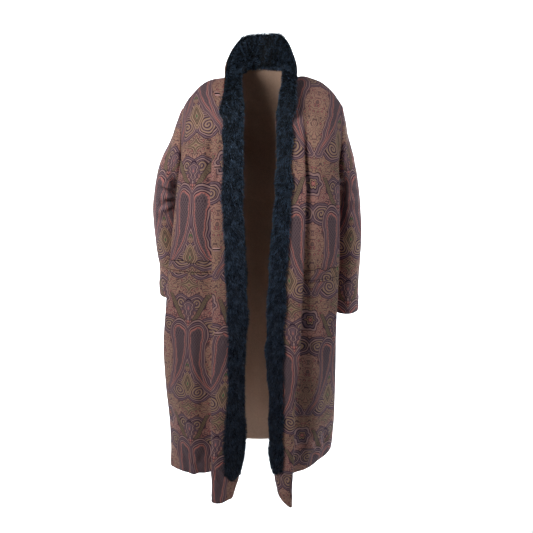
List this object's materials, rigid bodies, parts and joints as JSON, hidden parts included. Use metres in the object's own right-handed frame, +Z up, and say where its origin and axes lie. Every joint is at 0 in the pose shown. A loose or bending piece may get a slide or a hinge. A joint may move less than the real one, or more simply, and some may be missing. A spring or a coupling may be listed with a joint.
{
  "type": "coat",
  "caption": "Long open coat in paisley cloth with a standing fur collar that runs on down both front edges, held in its worn form with nobody in it.",
  "frame": {"origin": "base of the neck, midway between the inner ends of the shoulder seams", "axes": "+Z up, -Y out of the coat's front, +X towards the wearer's left"},
  "size_m": [0.5925, 0.3555, 1.3081],
  "materials": {
    "cloth": "matt paisley wool in brown, plum, coral and olive",
    "fur": "short dense charcoal to navy pile fur",
    "binding": "plain bound buttonhole edges"
  },
  "bodies": {
    "root": {"back": "cloth", "front_right": "cloth", "front_left": "cloth", "sleeve_right": "cloth", "sleeve_left": "cloth", "cuff_right": "cloth", "cuff_left": "cloth", "under_collar_right": "cloth", "under_collar_left": "cloth", "fur_right": "fur", "fur_left": "fur", "pocket_welt_right": "cloth", "pocket_welt_left": "cloth", "buttonhole_1": "binding", "buttonhole_2": "binding", "buttonhole_3": "binding", "buttonhole_4": "binding"}
  },
  "joints": []
}
